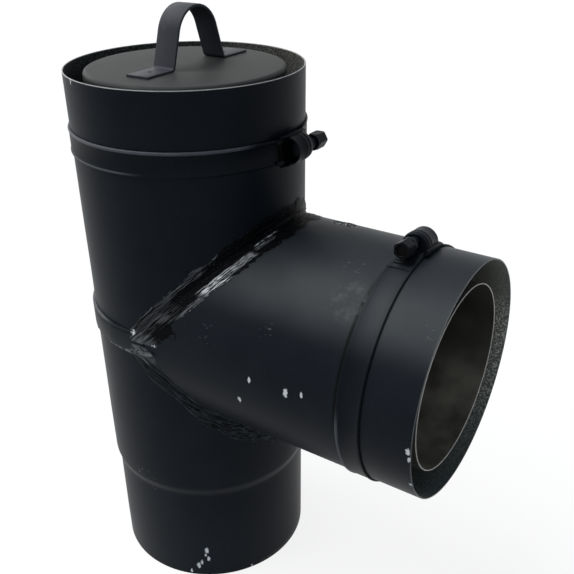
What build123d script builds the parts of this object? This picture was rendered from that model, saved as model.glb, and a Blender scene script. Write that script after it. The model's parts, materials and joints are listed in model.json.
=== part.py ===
from build123d import *
import os
from math import cos, radians, sin, sqrt, tan

# Pellet vent tee: a double-wall stove pipe tee that stands on its male end, with a lift-off clean-out
# cap over the top of the run. Millimetres, +Z up the run, +X along the branch, and the origin at the
# centre of the male end's rim.

# Outer casing, rolled from sheet
casing_diameter = 127.0
casing_wall = 0.7
run_height = 316.0
branch_height = 177.3
branch_reach = 171.5
male_diameter = 123.2
male_length = 69.0
male_taper = 8.0

# Inner flue liner
liner_diameter = 100.0
liner_wall = 0.6
liner_base_recess = 3.0
liner_branch_recess = 3.8

# Band over the joint of the run
joint_band_width = 13.5
joint_band_thickness = 1.5
joint_band_reach = 10.0
joint_band_edge = 0.5

# Sealant over the two mitre seams: how far it is smeared over the run and over the branch
upper_sealant_on_run = 4.5
upper_sealant_on_branch = 8.5
lower_sealant_on_run = 10.0
lower_sealant_on_branch = 3.0
sealant_thickness = 1.2
sealant_gap = 0.3

# Clean-out cap
cap_recess = 0.9
cap_wall = 0.8
cap_skirt_depth = 22.0
cap_edge_radius = 2.5
cap_clearance = 0.8
cap_seat_gap = 0.05
cap_brim_overhang = 1.9
cap_brim_height = 5.0

# Strap handle and the pressed stitch that joins each foot to the lid
handle_width = 13.8
handle_thickness = 1.2
handle_height = 30.0
handle_span = 82.0
handle_leg_spacing = 40.6
handle_lean = 18.0
handle_bend_radius = 1.5
handle_shift = 2.7
handle_offset = 1.0
stitch_spacing = 61.0
stitch_size = 2.6
stitch_depth = 0.9
stitch_spread = 0.5
stitch_foot = 0.5
stitch_clearance = 0.05

# Spacer clips between liner and casing
spacer_count = 3
spacer_start_angle = 60.0
spacer_width = 12.0
spacer_length = 30.0
spacer_crown = 12.0
spacer_foot = 5.0
spacer_wall = 0.8
spacer_clearance = 0.05
upper_spacer_drop = 50.0
base_spacer_height = 45.0
branch_spacer_setback = 50.0

# Worm-drive clamps, one round each female end
clamp_band_width = 12.7
clamp_band_thickness = 0.65
clamp_band_clearance = 0.1
clamp_tail_root = 1.5
clamp_tail_joggle = 1.0
clamp_free_tail = 14.0
upper_clamp_lift = 1.7
branch_clamp_lift = 0.1
upper_clamp_offset = 2.6
branch_clamp_setback = 33.0
upper_screw_angle = 0.8
branch_screw_angle = 3.6
ply_gap = 0.05
saddle_overhang = 2.0
saddle_tip_overhang = 4.6
saddle_wall = 0.7
saddle_floor = 0.5
saddle_height = 2.4
housing_length = 13.0
housing_wall = 0.7
housing_end_wall = 1.2
band_side_clearance = 0.15
worm_diameter = 7.2
worm_clearance = 0.1
worm_tip_recess = 2.0
worm_end_gap = 0.3
screw_neck_diameter = 6.0
screw_neck_length = 5.5
screw_neck_clearance = 0.05
screw_collar_diameter = 8.6
screw_collar_thickness = 1.6
screw_hex_flats = 8.0
screw_hex_length = 7.5
screw_hex_chamfer = 0.6
screw_dish_diameter = 5.4
screw_dish_depth = 0.9

# Sizes that follow from those above
casing_radius = casing_diameter / 2
male_radius = male_diameter / 2
liner_radius = liner_diameter / 2
reach_over = casing_diameter
cap_top = run_height - cap_recess
cap_underside = cap_top - cap_wall
cap_skirt_inner_radius = liner_radius + cap_clearance
cap_radius = cap_skirt_inner_radius + cap_wall
cap_brim_radius = cap_radius + cap_brim_overhang
liner_top = cap_underside - cap_seat_gap
liner_branch_end = branch_reach - liner_branch_recess

# Frame of the branch: its sketch plane is square to the branch, with the local x axis upwards
branch_frame = Plane(origin=(0, 0, branch_height), x_dir=(0, 0, 1), z_dir=(1, 0, 0))


def ring(outer_radius, wall):
    """Draws a flat ring in the sketch that is open."""
    Circle(outer_radius)
    Circle(outer_radius - wall, mode=Mode.SUBTRACT)


def branch_wedge(mode):
    """Keeps or removes the wedge between the two mitre planes, which belongs to the branch."""
    with BuildSketch(Plane.XZ) as wedge:
        with BuildLine():
            Polyline(
                (0, branch_height),
                (reach_over * 2, branch_height - reach_over * 2),
                (reach_over * 2, branch_height + reach_over * 2),
                close=True,
            )
        make_face()
    extrude(wedge.sketch, amount=reach_over, both=True, mode=mode)


def level_slab(low, high, mode):
    """Keeps or removes a level slab that is wider than the whole tee."""
    with BuildSketch(Plane.XY.offset(low)) as slab:
        Rectangle(4 * reach_over, 4 * reach_over)
    extrude(slab.sketch, amount=high - low, mode=mode)


os.makedirs("parts", exist_ok=True)

# Upper casing: the run above the branch, cut along the upper mitre
with BuildPart() as upper_casing:
    with BuildSketch(Plane.XY.offset(branch_height)):
        ring(casing_radius, casing_wall)
    extrude(amount=run_height - branch_height)
    branch_wedge(Mode.SUBTRACT)
upper_casing.part.label = "upper_casing"
export_step(upper_casing.part, "parts/upper_casing.step")

# Lower casing: the run below the branch, drawn in to a male end at its foot
with BuildPart() as lower_casing:
    with BuildSketch(Plane.XZ):
        with BuildLine():
            Polyline(
                (male_radius - casing_wall, 0),
                (male_radius, 0),
                (male_radius, male_length),
                (casing_radius, male_length + male_taper),
                (casing_radius, branch_height),
                (casing_radius - casing_wall, branch_height),
                (casing_radius - casing_wall, male_length + male_taper),
                (male_radius - casing_wall, male_length),
                close=True,
            )
        make_face()
    revolve(axis=Axis.Z)
    branch_wedge(Mode.SUBTRACT)
lower_casing.part.label = "lower_casing"
export_step(lower_casing.part, "parts/lower_casing.step")

# Branch casing: the side pipe, cut to a point by both mitres
with BuildPart() as branch_casing:
    with BuildSketch(branch_frame):
        ring(casing_radius, casing_wall)
    extrude(amount=branch_reach)
    branch_wedge(Mode.INTERSECT)
branch_casing.part.label = "branch_casing"
export_step(branch_casing.part, "parts/branch_casing.step")

# Joint band: a raised strip over the joint of upper and lower casing, with its ends lapped onto the branch
with BuildPart() as branch_ends:
    with BuildSketch(branch_frame):
        ring(casing_radius + joint_band_thickness, joint_band_thickness)
    extrude(amount=joint_band_reach)
    branch_wedge(Mode.INTERSECT)
    level_slab(
        branch_height - joint_band_width / 2,
        branch_height + joint_band_width / 2,
        Mode.INTERSECT,
    )
with BuildPart() as joint_band:
    with BuildSketch(Plane.XY.offset(branch_height - joint_band_width / 2)):
        ring(casing_radius + joint_band_thickness, joint_band_thickness)
    extrude(amount=joint_band_width)
    rims = joint_band.edges().filter_by(GeomType.CIRCLE).sort_by(SortBy.RADIUS)[-2:]
    chamfer(rims, length=joint_band_edge)
    branch_wedge(Mode.SUBTRACT)
    add(branch_ends.part)
joint_band.part.label = "joint_band"
export_step(joint_band.part, "parts/joint_band.step")


def seam_strip(side, on_run, on_branch):
    """Keeps the strip along one mitre seam, side +1 for the upper and -1 for the lower one."""
    run_offset = on_run * sqrt(2)
    branch_offset = on_branch * sqrt(2)
    start = joint_band_width / 2 + sealant_gap
    end = casing_radius + sealant_thickness + run_offset
    with BuildSketch(Plane.XZ) as strip:
        with BuildLine():
            Polyline(
                (start - run_offset, branch_height + side * start),
                (start + branch_offset, branch_height + side * start),
                (end + branch_offset, branch_height + side * end),
                (end - run_offset, branch_height + side * end),
                close=True,
            )
        make_face()
    extrude(strip.sketch, amount=reach_over, both=True, mode=Mode.INTERSECT)


# Seam sealant: a smeared strip along each mitre, partly on the run and partly on the branch
seams = (
    ("upper_seam_sealant", 1, upper_sealant_on_run, upper_sealant_on_branch),
    ("lower_seam_sealant", -1, lower_sealant_on_run, lower_sealant_on_branch),
)
for name, side, on_run, on_branch in seams:
    with BuildPart() as branch_half:
        with BuildSketch(branch_frame):
            ring(casing_radius + sealant_thickness, sealant_thickness)
        extrude(amount=branch_reach)
        branch_wedge(Mode.INTERSECT)
        seam_strip(side, on_run, on_branch)
    with BuildPart() as seam_sealant:
        with BuildSketch(Plane.XY.offset(branch_height)):
            ring(casing_radius + sealant_thickness, sealant_thickness)
        extrude(amount=side * reach_over)
        branch_wedge(Mode.SUBTRACT)
        seam_strip(side, on_run, on_branch)
        add(branch_half.part)
    seam_sealant.part.label = name
    export_step(seam_sealant.part, f"parts/{name}.step")

# Run liner: the inner flue pipe, open at the foot and closed at the top by the cap
with BuildPart() as run_liner:
    with BuildSketch(Plane.XY.offset(liner_base_recess)):
        ring(liner_radius, liner_wall)
    extrude(amount=liner_top - liner_base_recess)
    branch_wedge(Mode.SUBTRACT)
run_liner.part.label = "run_liner"
export_step(run_liner.part, "parts/run_liner.step")

# Branch liner: the inner pipe of the branch, mitred into the run liner
with BuildPart() as branch_liner:
    with BuildSketch(branch_frame):
        ring(liner_radius, liner_wall)
    extrude(amount=liner_branch_end)
    branch_wedge(Mode.INTERSECT)
branch_liner.part.label = "branch_liner"
export_step(branch_liner.part, "parts/branch_liner.step")


def spacer_clip(frame, angle, middle, outer_radius):
    """Bends one hat-shaped strip that stands on the liner and bears on the casing with its crown."""
    foot = liner_radius + spacer_clearance
    crown = sqrt((outer_radius - spacer_clearance) ** 2 - (spacer_width / 2) ** 2) - spacer_wall
    half_length = spacer_length / 2
    half_crown = spacer_crown / 2
    turn = radians(angle)
    outwards = frame.x_dir * cos(turn) + frame.y_dir * sin(turn)
    section = Plane(origin=frame.origin, x_dir=outwards, z_dir=outwards.cross(frame.z_dir))
    with BuildSketch(section) as hat:
        with BuildLine():
            Polyline(
                (foot, middle - half_length),
                (foot, middle - half_length + spacer_foot),
                (crown, middle - half_crown),
                (crown, middle + half_crown),
                (foot, middle + half_length - spacer_foot),
                (foot, middle + half_length),
            )
            offset(amount=spacer_wall, side=Side.RIGHT)
        make_face()
    extrude(hat.sketch, amount=spacer_width / 2, both=True)


# Spacer clips: three between liner and casing near each of the three ends
spacer_rows = (
    ("upper_spacers", Plane.XY, run_height - upper_spacer_drop, casing_radius - casing_wall),
    ("base_spacers", Plane.XY, base_spacer_height, male_radius - casing_wall),
    ("branch_spacers", branch_frame, branch_reach - branch_spacer_setback, casing_radius - casing_wall),
)
for name, frame, middle, outer_radius in spacer_rows:
    with BuildPart() as spacers:
        for index in range(spacer_count):
            spacer_clip(frame, spacer_start_angle + index * 360 / spacer_count, middle, outer_radius)
    spacers.part.label = name
    export_step(spacers.part, f"parts/{name}.step")

# Cap lid: a pressed disc with a rounded brim, a skirt that slips over the liner and a slot for each stitch
stitch_places = [(handle_offset, handle_shift + half * stitch_spacing / 2) for half in (-1, 1)]
stitch_slot = stitch_size + 2 * stitch_clearance
with BuildPart() as cap_lid:
    with BuildSketch(Plane.XY.offset(cap_top - cap_skirt_depth)):
        Circle(cap_radius)
    extrude(amount=cap_skirt_depth)
    with BuildSketch(Plane.XY.offset(cap_top)):
        Circle(cap_brim_radius)
    extrude(amount=-cap_brim_height)
    fillet(cap_lid.edges().sort_by(Axis.Z)[-1], radius=cap_edge_radius)
    offset(amount=-cap_wall, openings=cap_lid.faces().sort_by(Axis.Z)[0])
    with BuildSketch(Plane.XY.offset(cap_top)):
        with Locations(*stitch_places):
            Rectangle(stitch_slot, stitch_slot)
    extrude(amount=-2 * cap_wall, mode=Mode.SUBTRACT)
cap_lid.part.label = "cap_lid"
export_step(cap_lid.part, "parts/cap_lid.step")

# Cap handle: one bent strap with two flat feet, legs that lean inwards and a round top
half_leg = handle_leg_spacing / 2
lean = radians(handle_lean)
apex_height = half_leg / tan(lean)
inner_height = handle_height - handle_thickness
top_radius = (apex_height - inner_height) / (1 / sin(lean) - 1)
foot_radius = handle_bend_radius + handle_thickness
handle_plane = Plane(origin=(handle_offset, handle_shift, cap_top), x_dir=(0, 1, 0), z_dir=(1, 0, 0))
with BuildPart() as cap_handle:
    with BuildSketch(handle_plane):
        with BuildLine():
            FilletPolyline(
                (-handle_span / 2, 0),
                (-half_leg, 0),
                (0, apex_height),
                (half_leg, 0),
                (handle_span / 2, 0),
                radius=[foot_radius, top_radius, foot_radius],
            )
            offset(amount=handle_thickness, side=Side.LEFT)
        make_face()
    extrude(amount=handle_width / 2, both=True)
    # Pressed stitches: a square of each foot is pushed down through the lid and spread below it
    with BuildSketch(Plane.XY.offset(cap_top + handle_thickness)):
        with Locations(*stitch_places):
            Rectangle(stitch_size, stitch_size)
    extrude(amount=-stitch_depth, mode=Mode.SUBTRACT)
    with BuildSketch(Plane.XY.offset(cap_top)):
        with Locations(*stitch_places):
            Rectangle(stitch_size, stitch_size)
    extrude(amount=-cap_wall - stitch_clearance)
    with BuildSketch(Plane.XY.offset(cap_underside - stitch_clearance)):
        with Locations(*stitch_places):
            Rectangle(stitch_size, stitch_size + 2 * stitch_spread)
    extrude(amount=-stitch_foot)
cap_handle.part.label = "cap_handle"
export_step(cap_handle.part, "parts/cap_handle.step")

# Seats of the two clamps: origin on the pipe's axis, x axis out to the worm, z axis along the pipe
neck_middle = (run_height + branch_height + casing_radius) / 2
upper_seat = Plane(
    origin=(0, 0, neck_middle + upper_clamp_offset),
    x_dir=(cos(radians(upper_screw_angle)), sin(radians(upper_screw_angle)), 0),
    z_dir=(0, 0, 1),
)
branch_seat = Plane(
    origin=(branch_reach - branch_clamp_setback, 0, branch_height),
    x_dir=(0, sin(radians(branch_screw_angle)), cos(radians(branch_screw_angle))),
    z_dir=(1, 0, 0),
)

# Stack of a clamp above the inside of its band: band, saddle, tail of the band and worm
saddle_low = clamp_band_thickness + ply_gap
saddle_high = saddle_low + saddle_floor
tail_low = saddle_high + ply_gap
tail_high = tail_low + clamp_band_thickness
worm_middle = tail_high + worm_clearance + worm_diameter / 2
free_low = clamp_band_thickness + ply_gap
free_high = free_low + clamp_band_thickness

# Places along the worm, from the middle of the housing towards the screw's head
housing_end = housing_length / 2
saddle_end = housing_end + saddle_overhang
saddle_start = -housing_end - saddle_tip_overhang
collar_start = housing_end + screw_neck_length
hex_start = collar_start + screw_collar_thickness
hex_end = hex_start + screw_hex_length
tail_end = saddle_end + clamp_tail_joggle
free_tail_end = saddle_end + clamp_free_tail

# Half widths across the band
channel_half = clamp_band_width / 2 + band_side_clearance
housing_half = channel_half + housing_wall
ear_inner = housing_half + ply_gap
ear_outer = ear_inner + saddle_wall
barrel_radius = worm_diameter / 2 + worm_clearance + housing_wall


def hoop(lift, height, mode):
    """Draws the round outline of a clamp at a height above its band's inside, flat under the housing."""
    flat = casing_radius + lift + height
    with BuildLine() as outline:
        CenterArc((0, 0), casing_radius + clamp_band_clearance + height, 0, 360)
        Line((flat, saddle_start), (flat, saddle_end))
    make_hull(outline.edges(), mode=mode)


def arch(base, middle, half_width):
    """Draws the section of a worm housing: upright feet and a half-round top about its middle."""
    with BuildLine() as outline:
        CenterArc((middle, 0), half_width, -90, 180)
        Line((base, -half_width), (base, half_width))
    make_hull(outline.edges())


def lap(start, end):
    """Keeps the stretch of a clamp's outline that lies on the worm's side, from start to end along it."""
    with BuildLine() as outline:
        Polyline(
            (casing_radius / 2, start),
            (2 * casing_radius, start),
            (2 * casing_radius, end),
            (casing_radius / 2, end),
            close=True,
        )
    make_face(outline.edges(), mode=Mode.INTERSECT)


clamps = (
    ("upper_clamp", upper_seat, upper_clamp_lift),
    ("branch_clamp", branch_seat, branch_clamp_lift),
)
for name, seat, lift in clamps:
    # Plane across the worm: local x outwards, normal along the worm towards its head
    across = Plane(origin=seat.origin, x_dir=seat.x_dir, z_dir=seat.y_dir)
    stack_base = casing_radius + lift
    floor_top = stack_base + saddle_high
    tail_top = stack_base + tail_high + ply_gap
    worm_axis = stack_base + worm_middle
    arch_middle = worm_axis + barrel_radius - housing_half

    # Clamp band: a hoop, straight under the housing, whose tail laps over the saddle from behind the worm
    band_edge = seat.offset(-clamp_band_width / 2)
    with BuildPart() as clamp_band:
        with BuildSketch(band_edge):
            hoop(lift, clamp_band_thickness, Mode.ADD)
            hoop(lift, 0, Mode.SUBTRACT)
        extrude(amount=clamp_band_width)
        with BuildSketch(band_edge):
            hoop(lift, tail_high, Mode.ADD)
            hoop(lift, 0, Mode.SUBTRACT)
            lap(saddle_start - clamp_tail_root, tail_end)
        extrude(amount=clamp_band_width)
        # Room between band and tail for the saddle's floor
        with BuildSketch(band_edge):
            hoop(lift, tail_low, Mode.ADD)
            hoop(lift, clamp_band_thickness, Mode.SUBTRACT)
            lap(saddle_start - ply_gap, collar_start)
        extrude(amount=clamp_band_width, mode=Mode.SUBTRACT)
        # Free end of the tail, set down onto the band beyond the saddle
        with BuildSketch(band_edge):
            hoop(lift, free_high, Mode.ADD)
            hoop(lift, free_low, Mode.SUBTRACT)
            lap(saddle_end + ply_gap, free_tail_end)
        extrude(amount=clamp_band_width)
    clamp_band.part.label = f"{name}_band"
    export_step(clamp_band.part, f"parts/{name}_band.step")

    # Clamp saddle: a channel between the band and its tail, whose ears hold the housing's feet
    with BuildPart() as clamp_saddle:
        with BuildSketch(across.offset(saddle_start)):
            with BuildLine():
                Polyline(
                    (stack_base + saddle_low, -ear_outer),
                    (stack_base + saddle_low, ear_outer),
                    (floor_top + saddle_height, ear_outer),
                    (floor_top + saddle_height, ear_inner),
                    (floor_top, ear_inner),
                    (floor_top, -ear_inner),
                    (floor_top + saddle_height, -ear_inner),
                    (floor_top + saddle_height, -ear_outer),
                    close=True,
                )
            make_face()
        extrude(amount=saddle_end - saddle_start)
    clamp_saddle.part.label = f"{name}_saddle"
    export_step(clamp_saddle.part, f"parts/{name}_saddle.step")

    # Clamp housing: an arched barrel over the worm, open at the worm's tip and walled at its head
    with BuildPart() as clamp_housing:
        with BuildSketch(across):
            arch(floor_top + ply_gap, arch_middle, housing_half)
        extrude(amount=housing_end, both=True)
        with BuildSketch(across.offset(housing_end - housing_end_wall)):
            arch(floor_top, arch_middle, channel_half)
        extrude(amount=-housing_length, mode=Mode.SUBTRACT)
        # Gate for the tail and hole for the screw's neck in the end wall
        with BuildSketch(across):
            with Locations(((floor_top + tail_top) / 2, 0)):
                Rectangle(tail_top - floor_top, 2 * channel_half)
            with Locations((worm_axis, 0)):
                Circle(screw_neck_diameter / 2 + screw_neck_clearance)
        extrude(amount=housing_length, mode=Mode.SUBTRACT)
    clamp_housing.part.label = f"{name}_housing"
    export_step(clamp_housing.part, f"parts/{name}_housing.step")

    # Clamp screw: the worm in the barrel, a neck through the end wall, a collar and a dished hex head
    with BuildPart() as clamp_screw:
        with BuildSketch(across.offset(-housing_end + worm_tip_recess)):
            with Locations((worm_axis, 0)):
                Circle(worm_diameter / 2)
        extrude(amount=housing_length - worm_tip_recess - housing_end_wall - worm_end_gap)
        with BuildSketch(across.offset(housing_end - housing_end_wall - worm_end_gap)):
            with Locations((worm_axis, 0)):
                Circle(screw_neck_diameter / 2)
        extrude(amount=housing_end_wall + worm_end_gap + screw_neck_length)
        with BuildSketch(across.offset(collar_start)):
            with Locations((worm_axis, 0)):
                Circle(screw_collar_diameter / 2)
        extrude(amount=screw_collar_thickness)
        with BuildSketch(across.offset(hex_start)):
            with Locations((worm_axis, 0)):
                RegularPolygon(radius=screw_hex_flats / 2, side_count=6, major_radius=False)
        extrude(amount=screw_hex_length)
        head_face = clamp_screw.faces().sort_by(Axis(seat.origin, seat.y_dir))[-1]
        chamfer(head_face.edges(), length=screw_hex_chamfer)
        with BuildSketch(across.offset(hex_end)):
            with Locations((worm_axis, 0)):
                Circle(screw_dish_diameter / 2)
        extrude(amount=-screw_dish_depth, mode=Mode.SUBTRACT)
    clamp_screw.part.label = f"{name}_screw"
    export_step(clamp_screw.part, f"parts/{name}_screw.step")
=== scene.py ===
import json
from functools import reduce
from math import acos, asin, atan2, cos, hypot, pi, radians, sin, sqrt, tan
from operator import or_

import bmesh
import bpy
from mathutils import Matrix, Vector, noise


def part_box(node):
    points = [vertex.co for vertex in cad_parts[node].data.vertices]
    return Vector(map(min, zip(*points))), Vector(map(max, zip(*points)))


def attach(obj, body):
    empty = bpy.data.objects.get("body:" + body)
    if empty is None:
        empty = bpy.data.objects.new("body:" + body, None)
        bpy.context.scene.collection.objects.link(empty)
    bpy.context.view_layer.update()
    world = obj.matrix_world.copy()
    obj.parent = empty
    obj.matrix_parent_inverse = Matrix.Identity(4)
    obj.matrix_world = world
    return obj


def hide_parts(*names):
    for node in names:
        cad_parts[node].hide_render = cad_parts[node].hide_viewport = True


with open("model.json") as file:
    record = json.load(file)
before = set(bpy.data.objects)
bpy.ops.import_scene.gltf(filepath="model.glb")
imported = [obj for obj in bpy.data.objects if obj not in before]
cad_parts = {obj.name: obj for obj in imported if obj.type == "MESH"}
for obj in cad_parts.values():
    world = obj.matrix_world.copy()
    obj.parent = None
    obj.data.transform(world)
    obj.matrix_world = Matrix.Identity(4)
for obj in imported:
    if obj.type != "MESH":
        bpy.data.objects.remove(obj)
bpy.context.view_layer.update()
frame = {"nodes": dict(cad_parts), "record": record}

# Casing: three lengths of rolled sheet steel, mitred where the branch meets the run, and sprayed with matt
# black stove paint inside and out. The foot of the run is drawn in, so that it slips into the next pipe.
# Sizes here and below are in millimetres.
METRE = 1000.0
run_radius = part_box("upper_casing")[1].x * METRE
run_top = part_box("upper_casing")[1].z * METRE
branch_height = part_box("upper_casing")[0].z * METRE
branch_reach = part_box("branch_casing")[1].x * METRE
mounts = {mount["name"]: mount for mount in frame["record"]["mounts"]}
male_radius = mounts["base_spigot"]["dims"]["r_mm"]
male_length = mounts["base_spigot"]["dims"]["length_mm"]
male_taper = 8.0
casing_wall = 0.7
rim_rounding = 0.22
sheet_wave = 0.12
sheet_wave_length = 45.0
tube_turns = 256
sharp_edge = radians(38)
weld_gap = 1e-6
cloud_size = 38.0
dust_size = 0.55
dust_grey = (0.09, 0.09, 0.09)
# Shares of the radius above the branch's axis between which a highlight is painted on the branch's
# shoulders.
highlight_low = 0.60
highlight_high = 0.95
highlight_fade = 0.14


class Wire:
    """One output of a shader node: arithmetic on it adds Math nodes to the same tree."""

    def __init__(self, tree, socket=None):
        self.tree = tree
        self.socket = socket

    def make(self, kind, settings=None, inputs=None, output=0):
        """Adds a node, sets it up, fills or links its inputs, and wraps one of its outputs."""
        node = self.tree.nodes.new(kind)
        for key, value in (settings or {}).items():
            setattr(node, key, value)
        for key, value in (inputs or {}).items():
            if isinstance(value, Wire):
                self.tree.links.new(value.socket, node.inputs[key])
            else:
                node.inputs[key].default_value = value
        return Wire(self.tree, node.outputs[output])

    def math(self, operation, first, second):
        return self.make("ShaderNodeMath", {"operation": operation}, {0: first, 1: second})

    def __add__(self, other):
        return self.math("ADD", self, other)

    __radd__ = __add__

    def __sub__(self, other):
        return self.math("SUBTRACT", self, other)

    def __rsub__(self, other):
        return self.math("SUBTRACT", other, self)

    def __mul__(self, other):
        return self.math("MULTIPLY", self, other)

    __rmul__ = __mul__

    def __or__(self, other):
        return self.math("MAXIMUM", self, other)

    __ror__ = __or__

    def __abs__(self):
        return self.math("ABSOLUTE", self, 0.0)

    def vector(self, operation, other, output="Vector"):
        return self.make("ShaderNodeVectorMath", {"operation": operation}, {0: self, 1: other}, output)

    def step(self, low, high):
        """Goes smoothly from 0 at low to 1 at high, whichever of them is the greater."""
        ends = {"Value": self, "From Min": low, "From Max": high}
        return self.make("ShaderNodeMapRange", {"interpolation_type": "SMOOTHSTEP"}, ends)

    def blend(self, under, over):
        """Lays one colour over another where this value is 1."""
        shades = [shade if isinstance(shade, Wire) else (*shade, 1.0) for shade in (under, over)]
        return self.make("ShaderNodeMix", {"data_type": "RGBA"}, {0: self, 6: shades[0], 7: shades[1]}, 2)

    def grain(self, size, detail=2.0):
        """Noise whose lumps are about that many millimetres across."""
        return self.make("ShaderNodeTexNoise", {}, {"Vector": self, "Scale": 1 / size, "Detail": detail})

    def near(self, spot, radius, ragged=0.0):
        """A dot with a soft edge round one place, which a ragged value makes uneven."""
        gap = self.vector("DISTANCE", spot, "Value") + ragged
        return gap.step(radius, radius * 0.6)

    def near_any(self, spots, ragged=0.0):
        """Dots round several places, each given by three coordinates and a radius."""
        return reduce(or_, [self.near(spot[:3], spot[3], ragged) for spot in spots])

    def within(self, low, high, soft):
        """1 between two values, with soft ends."""
        return self.step(low - soft, low + soft) * self.step(high + soft, high - soft)

    def axis(self, index):
        """One coordinate of a place: 0 along the branch, 1 sideways and 2 up."""
        return self.make("ShaderNodeSeparateXYZ", {}, {0: self}, index)

    def length(self):
        """How far a place lies from the origin."""
        return self.vector("LENGTH", (0, 0, 0), "Value")

    def place(self, x, y, z):
        """A place made of three coordinates."""
        return self.make("ShaderNodeCombineXYZ", {}, {0: x, 1: y, 2: z})

    def feed(self, shader, name):
        self.tree.links.new(self.socket, shader.inputs[name])


def start_finish(name, specular, metallic=0.0):
    """Starts a material: gives it, its main shader and the place on the piece in millimetres."""
    finish = bpy.data.materials.new(name)
    finish.use_nodes = True
    shader = finish.node_tree.nodes["Principled BSDF"]
    shader.inputs["Specular IOR Level"].default_value = specular
    shader.inputs["Metallic"].default_value = metallic
    metres = Wire(finish.node_tree).make("ShaderNodeTexCoord", output="Object")
    return finish, shader, metres.vector("MULTIPLY", (METRE, METRE, METRE))


def press(height, shader, depth):
    """Turns a height from 0 to 1 into a bump of that many millimetres."""
    relief = {"Height": height, "Strength": 1.0, "Distance": depth / METRE}
    height.make("ShaderNodeBump", {}, relief).feed(shader, "Normal")


def stove_paint(shader, spot, dark, light, roughness):
    """The ground of a sprayed matt coat: a cloudy colour, with fine dust caught in the film."""
    cloud = spot.grain(cloud_size, 4.0)
    dust = spot.grain(dust_size, 1.0).step(0.70, 0.78)
    (roughness + (cloud - 0.5) * 0.2).feed(shader, "Roughness")
    return (dust * 0.3).blend(cloud.step(0.3, 0.7).blend(dark, light), dust_grey)


def shoulder_highlight(spot, paint, shade):
    """Paints a broad highlight into the colour on both shoulders of the branch, fading out over its crown.
    """
    rise = spot.axis(2) - branch_height
    on_shoulder = (rise * (1 / run_radius)).within(highlight_low, highlight_high, highlight_fade)
    past_seam = (spot.axis(0) - abs(rise)).step(2, 16)
    film = on_shoulder * past_seam * (0.55 + spot.grain(20.0, 4.0) * 0.6)
    return film.blend(paint, shade)


def shell(rows, wrap_rows=True, wrap_points=True, capped=False):
    """Joins rows of points into a skin: each row to the next, and the last to the first if it wraps."""
    count = len(rows)
    length = len(rows[0])
    faces = []
    for i in range(count if wrap_rows else count - 1):
        for j in range(length if wrap_points else length - 1):
            k = (i + 1) % count
            m = (j + 1) % length
            faces.append((i * length + j, k * length + j, k * length + m, i * length + m))
    if capped:
        faces.append(tuple(range(length)))
        faces.append(tuple((count - 1) * length + j for j in range(length)))
    return [point for row in rows for point in row], faces


def smooth(mesh):
    """Shades a mesh smooth but for its sharp edges."""
    mesh.shade_smooth()
    mesh.set_sharp_from_angle(angle=sharp_edge)


def solid(name, shells):
    """Makes an object of closed shells given in millimetres."""
    points = []
    faces = []
    for shell_points, shell_faces in shells:
        start = len(points)
        points += [Vector(point) / METRE for point in shell_points]
        faces += [[start + index for index in face] for face in shell_faces]
    mesh = bpy.data.meshes.new(name)
    mesh.from_pydata(points, [], faces)
    work = bmesh.new()
    work.from_mesh(mesh)
    bmesh.ops.remove_doubles(work, verts=work.verts, dist=weld_gap)
    bmesh.ops.recalc_face_normals(work, faces=work.faces)
    work.to_mesh(mesh)
    work.free()
    smooth(mesh)
    made = bpy.data.objects.new(name, mesh)
    bpy.context.collection.objects.link(made)
    return made


def dress(made, finish, slot, body, *nodes):
    """Gives a piece its finish, rides it on a body and lets it stand for those nodes."""
    made.data.materials.clear()
    made.data.materials.append(finish)
    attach(made, body)
    if nodes:
        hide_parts(*nodes)


def spread(low, high, count):
    """Evenly spaced values from low to high."""
    return [low + (high - low) * index / (count - 1) for index in range(count)]


def whole_turn(count):
    """Evenly spaced angles once round a pipe."""
    return [2 * pi * index / count for index in range(count)]


def ease(value, low, high):
    """Goes smoothly from 0 at low to 1 at high."""
    share = min(1, max(0, (value - low) / (high - low)))
    return share * share * (3 - 2 * share)


def wave(point, size=1.0):
    """Smooth noise from -1 to 1 whose lumps are about that many millimetres across."""
    return noise.noise(Vector(point) / size)


def on_run(radius, angle, z):
    return (radius * cos(angle), radius * sin(angle), z)


def on_branch(radius, angle, x):
    return (x, radius * sin(angle), branch_height + radius * cos(angle))


def tube_wall(radius, wall, start_at, end, place, stations, rolled=sheet_wave):
    """Rolls a sheet tube: outside up to a rounded rim, then the inside back down to a plain edge.
    The stations are shares of the way from its start, which may differ round the tube, to its end."""
    rows = []
    for angle in whole_turn(tube_turns):
        row = []
        for inset, steps in ((0, stations), (wall, stations[::-1])):
            for step in steps:
                start = start_at(radius - inset, angle)
                along = start + (end - (rim_rounding if step == 1 else 0) - start) * step
                ripple = rolled * wave(place(radius, angle, along), sheet_wave_length)
                row.append(place(radius - inset + ripple, angle, along))
            if inset == 0:
                ripple = rolled * wave(place(radius, angle, end), sheet_wave_length)
                row.append(place(radius - rim_rounding + ripple, angle, end))
                row.append(place(radius - wall + rim_rounding + ripple, angle, end))
        rows.append(row)
    return shell(rows)


def run_mitre(radius, angle):
    """Height above or below the branch's axis at which the branch starts to cut into the run."""
    return max(0, radius * cos(angle))


def branch_mitre(radius, angle):
    """Distance from the run's axis at which the branch starts, which is least at its sides."""
    return abs(radius * cos(angle))


def foot_radius(z):
    """Radius of the run near its foot, where a soft shoulder draws it in to the male end."""
    return male_radius + (run_radius - male_radius) * ease(z, male_length, male_length + male_taper)


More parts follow.
